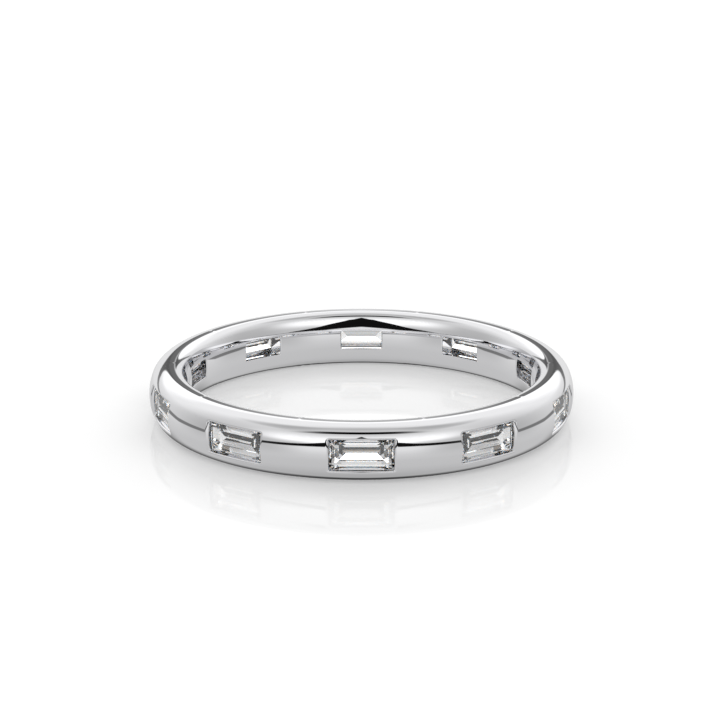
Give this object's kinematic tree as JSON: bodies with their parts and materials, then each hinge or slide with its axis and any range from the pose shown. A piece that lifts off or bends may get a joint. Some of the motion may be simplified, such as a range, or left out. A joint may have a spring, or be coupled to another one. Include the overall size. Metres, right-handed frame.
{
  "type": "baguette band",
  "caption": "Polished white-metal finger ring, domed outside and comfort-curved inside, with step-cut baguette stones let into windows spaced evenly round the band.",
  "frame": {"origin": "on the ring's axis, in the plane of its lower rim, so the ring lies flat on z = 0", "axes": "+Z along the ring's axis (the finger's direction); -Y through the middle of the first stone"},
  "size_m": [0.021, 0.0208, 0.0028],
  "materials": {
    "white_gold": "mirror polished",
    "diamond": "polished facets"
  },
  "bodies": {
    "root": {"band": "white_gold", "baguette_1": "diamond", "baguette_2": "diamond", "baguette_3": "diamond", "baguette_4": "diamond", "baguette_5": "diamond", "baguette_6": "diamond", "baguette_7": "diamond", "baguette_8": "diamond", "baguette_9": "diamond", "baguette_10": "diamond"}
  },
  "joints": []
}
